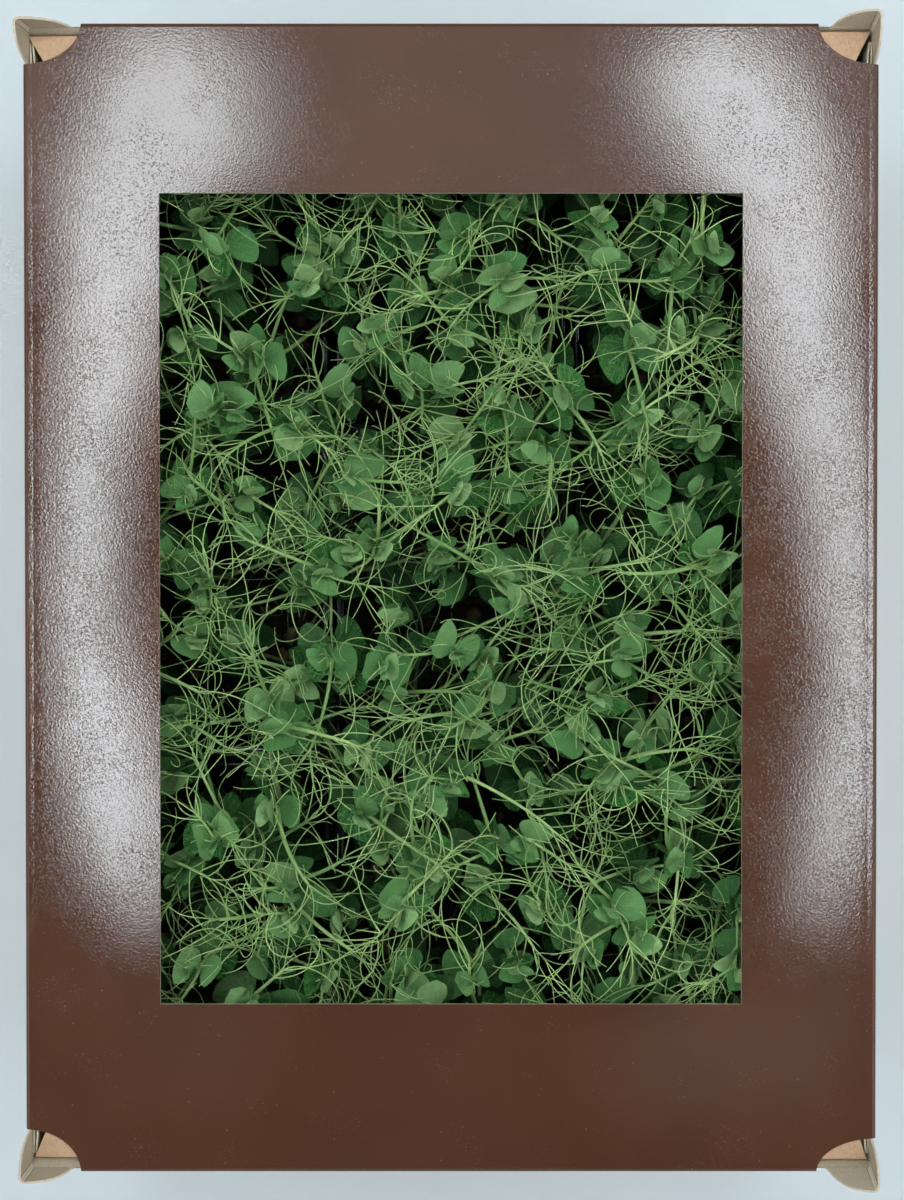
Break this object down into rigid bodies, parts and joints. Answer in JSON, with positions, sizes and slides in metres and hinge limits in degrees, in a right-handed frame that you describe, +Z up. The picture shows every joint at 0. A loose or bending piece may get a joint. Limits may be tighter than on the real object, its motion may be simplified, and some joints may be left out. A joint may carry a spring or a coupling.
{
  "type": "pea shoot microgreens tray",
  "caption": "Folded board crate with a windowed lid, holding black punnets of growing pea shoots with paired leaves and tendrils.",
  "frame": {"origin": "middle of the crate's flat underside, on the surface it stands on", "axes": "+X along the crate's short side, +Y along its long side, +Z up through the lid's window"},
  "size_m": [0.2993, 0.4056, 0.152],
  "materials": {
    "kraft_board": "matte",
    "printed_board": "gloss",
    "black_plastic": "gloss",
    "growing_medium": "matte",
    "pea_leaf": "satin"
  },
  "bodies": {
    "root": {"crate": "kraft_board", "lid": "printed_board", "punnet_1": "black_plastic", "growing_medium_1": "growing_medium", "pea_shoots_1": "pea_leaf", "punnet_2": "black_plastic", "growing_medium_2": "growing_medium", "pea_shoots_2": "pea_leaf", "punnet_3": "black_plastic", "growing_medium_3": "growing_medium", "pea_shoots_3": "pea_leaf", "punnet_4": "black_plastic", "growing_medium_4": "growing_medium", "pea_shoots_4": "pea_leaf", "punnet_5": "black_plastic", "growing_medium_5": "growing_medium", "pea_shoots_5": "pea_leaf", "punnet_6": "black_plastic", "growing_medium_6": "growing_medium", "pea_shoots_6": "pea_leaf", "punnet_7": "black_plastic", "growing_medium_7": "growing_medium", "pea_shoots_7": "pea_leaf", "punnet_8": "black_plastic", "growing_medium_8": "growing_medium", "pea_shoots_8": "pea_leaf", "punnet_9": "black_plastic", "growing_medium_9": "growing_medium", "pea_shoots_9": "pea_leaf"}
  },
  "joints": []
}
